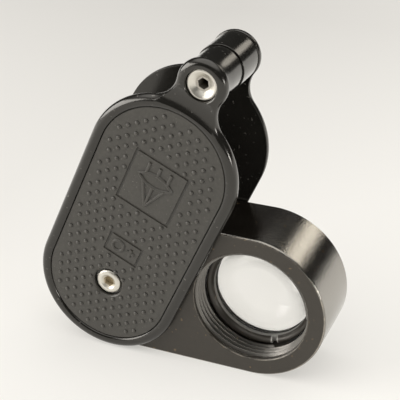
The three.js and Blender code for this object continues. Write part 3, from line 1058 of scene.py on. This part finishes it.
# ---- Screws and barrel nuts ----------------------------------------------
# Turned steel with a nickel plate. Each cover screw has a hexagon socket and is driven into
# a hollow post with a slotted head that comes through from the rear.
pivot_head_face = (
    (0, 0.4), (1.0, 0.38), (1.4, 0.1), (1.5, 0.02), (1.65, 0),
    (2.0, 0.04), (2.3, 0.14), (2.44, 0.28), (pivot_head_radius, 0.42),
)
neck_head_radius = 2.77
neck_head_face = (
    (0.9, 0.75), (1.3, 0.75), (1.45, 0.62), (2.25, 0.06),
    (2.4, 0), (2.6, 0.02), (2.73, 0.1), (neck_head_radius, 0.22),
)
driver_slot_width = 0.7
driver_slot_depth = 0.35
nut_edge = 0.12


def nickel_finish(name, centre, dirt_and_shade):
    """Nickel plate over turned steel, with turning marks about the screw's axis, and a socket that takes a
    given colour further down it: pale brown dirt at the pivot, dark brown painted shade at the neck.
    """
    plate = Finish(name)
    marks = plate.rings(centre, 0.00009)
    cloud = plate.noise(0.0015, 4)
    grime_and_shade = plate.attribute("grime_and_shade")
    bright = plate.blend(cloud, (0.66, 0.63, 0.56), (0.80, 0.77, 0.70))
    plate.feed("Base Color", plate.blend(grime_and_shade, bright, dirt_and_shade))
    plate.feed("Metallic", plate.spread(grime_and_shade, 1.0, 0.3))
    plate.feed("Roughness", plate.combine("MAXIMUM", plate.spread(cloud, 0.32, 0.46, 0.3, 0.7), grime_and_shade))
    plate.relief((marks, 0.000003), (plate.noise(0.0003, 2), 0.000004))
    return plate


# The pivot's screw and nut turn a pale brown dirt down their sockets. The neck's turn a dark brown that is
# painted shade.
pivot_nickel = nickel_finish("nickel_at_pivot", pivot, (0.50, 0.42, 0.28))
neck_nickel = nickel_finish("nickel_at_neck", pivot + neck_line, (0.10, 0.078, 0.055))


def shade_and_soil(screw, top, centre, radius, start, end):
    """Marks a screw's socket for dirt and painted shade: none on its face, and more further down its
    socket.
    """
    def dirt_and_shade(place):
        if math.hypot(place.x - centre[0], place.z - centre[1]) > radius:
            return 0.0
        return min(max((place.y - top - start) / (end - start), 0.0), 1.0)
    mark(screw, "grime_and_shade", dirt_and_shade)


def hexagon(across, centre, near, far):
    """A six-sided bar, given its width across the flats, for cutting a socket with."""
    outline = arc(centre, across / math.sqrt(3), 0, 2 * math.pi, 6)[:-1]
    return stack("socket", [(outline, near), (outline, far)])


def cover_screw(name, place, finish, face, seat, shank_radius, socket, edge, grime_and_shade):
    """A head on a plain shank. The face is (radius, depth) pairs from the middle out, the socket a
    width across flats and a depth, the edge a width and an angle, the grime and painted shade a radius and
    two depths."""
    top, end = ends_of(name)
    profile = [(radius, top + down) for radius, down in face]
    profile += [(face[-1][0], seat), (shank_radius, seat), (shank_radius, end), (face[0][0], end)]
    screw = turned(name, profile, place)
    across_flats, socket_depth = socket
    shape_with(screw, hexagon(across_flats, place, top - cut_past, top + socket_depth))
    break_edges(screw, *edge)
    shade_and_soil(screw, top, place, *grime_and_shade)
    settle(screw, case_frame, "case", [name], finish)


cover_screw(
    "pivot_screw", (0, 0), pivot_nickel, pivot_head_face, seat=-pad_floor - seat_gap,
    shank_radius=1.5, socket=(1.9, 1.3), edge=(0.07, 35), grime_and_shade=(1.2, 0.1, 0.6),
)
cover_screw(
    "neck_screw", neck_place, neck_nickel, neck_head_face, seat=-recess_floor - seat_gap,
    shank_radius=1.7, socket=(1.8, 2.7), edge=(0.05, 50), grime_and_shade=(1.4, 0.5, 1.1),
)


def barrel_nut(name, place, finish, head, radius, bore, bore_end):
    """A slotted head on a hollow post. The head is at the rear and the bore opens at the front."""
    low, high = ends_of(name)
    head_radius, head_thickness = head
    seat = high - head_thickness
    nut = turned(name, [
        (0, low), (radius, low), (radius, seat), (head_radius, seat),
        (head_radius, high - nut_edge), (head_radius - nut_edge, high), (0, high),
    ], place)
    shape_with(nut, rod("bore", bore, low - cut_past, bore_end, place))
    half = driver_slot_width / 2
    shape_with(nut, box_body(
        "slot", -head_radius, head_radius, place[1] - half, place[1] + half,
        high - driver_slot_depth, high + cut_past,
    ))
    break_edges(nut, 0.05)
    # Dirt and painted shade down the bore, as in the screws' sockets.
    shade_and_soil(nut, low, place, bore + 0.05, 0.5, 2)
    settle(nut, case_frame, "case", [name], finish)


barrel_nut(
    "pivot_barrel_nut", (0, 0), pivot_nickel, head=(post_head_radius, 0.6),
    radius=2.4, bore=1.55, bore_end=1.7,
)
barrel_nut(
    "neck_barrel_nut", neck_place, neck_nickel, head=(neck_head_radius, 0.65),
    radius=2.3, bore=1.75, bore_end=rim_top + cut_past,
)

# ---- Pivot bushing and washers -------------------------------------------
# A turned brass sleeve lines the holder's pivot bore. Nylon washers fill the gap to each cover,
# and a sprung wave washer in the holder's rear pocket gives the pivot its friction.
brass = Finish("turned_brass", Metallic=1.0)
brass_cloud = brass.noise(0.002, 4)
brass.feed("Base Color", brass.blend(brass_cloud, (0.48, 0.34, 0.13), (0.62, 0.47, 0.22)))
brass.feed("Roughness", brass.spread(brass_cloud, 0.25, 0.45, 0.3, 0.7))
brass.relief((brass.rings(pivot, 0.0001), 0.000003))

spring_steel = Finish("spring_steel", Metallic=1.0)
steel_cloud = spring_steel.noise(0.001, 4)
spring_steel.feed("Base Color", spring_steel.blend(steel_cloud, (0.30, 0.29, 0.28), (0.46, 0.46, 0.45)))
spring_steel.feed("Roughness", spring_steel.spread(steel_cloud, 0.28, 0.42, 0.3, 0.7))

nylon = Finish("nylon_sheet", Subsurface_Weight=0.1)
nylon_cloud = nylon.noise(0.001, 3)
nylon.feed("Base Color", nylon.blend(nylon_cloud, (0.62, 0.60, 0.52), (0.72, 0.70, 0.62)))
nylon.feed("Roughness", nylon.spread(nylon_cloud, 0.45, 0.6, 0.3, 0.7))

for node, finish, slot in (
    ("pivot_bushing", brass, "brass"),
    ("pivot_wave_washer", spring_steel, "spring_steel"),
    ("front_friction_washer", nylon, "nylon"),
    ("rear_friction_washer", nylon, "nylon"),
):
    carried = frame["nodes"][node]
    carried.data.materials.clear()
    carried.data.materials.append(finish.material)
